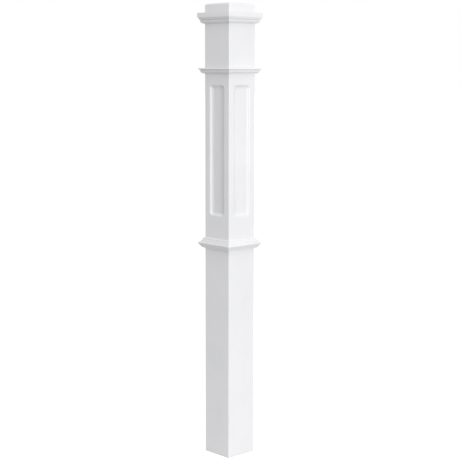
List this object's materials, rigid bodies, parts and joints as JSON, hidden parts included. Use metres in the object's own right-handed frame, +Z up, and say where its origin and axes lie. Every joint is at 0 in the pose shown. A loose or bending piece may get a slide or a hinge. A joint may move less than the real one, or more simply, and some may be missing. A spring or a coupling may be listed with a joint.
{
  "type": "newel post",
  "caption": "Square hollow box newel post with a sunk panel on each face, a plain block top, a stepped crown moulding and two mitred collars.",
  "frame": {"origin": "middle of the foot, on the floor plane", "axes": "+Z up the post; the four panelled faces look along -Y (front), +X (right), +Y (back) and -X (left)"},
  "size_m": [0.144, 0.144, 1.425],
  "materials": {
    "shaft_paint": "satin",
    "moulding_paint": "satin"
  },
  "bodies": {
    "root": {"board_front": "shaft_paint", "board_right": "shaft_paint", "board_back": "shaft_paint", "board_left": "shaft_paint", "cap_block": "shaft_paint", "crown_front": "moulding_paint", "crown_right": "moulding_paint", "crown_back": "moulding_paint", "crown_left": "moulding_paint", "upper_collar_front": "moulding_paint", "upper_collar_right": "moulding_paint", "upper_collar_back": "moulding_paint", "upper_collar_left": "moulding_paint", "lower_collar_front": "moulding_paint", "lower_collar_right": "moulding_paint", "lower_collar_back": "moulding_paint", "lower_collar_left": "moulding_paint"}
  },
  "joints": []
}
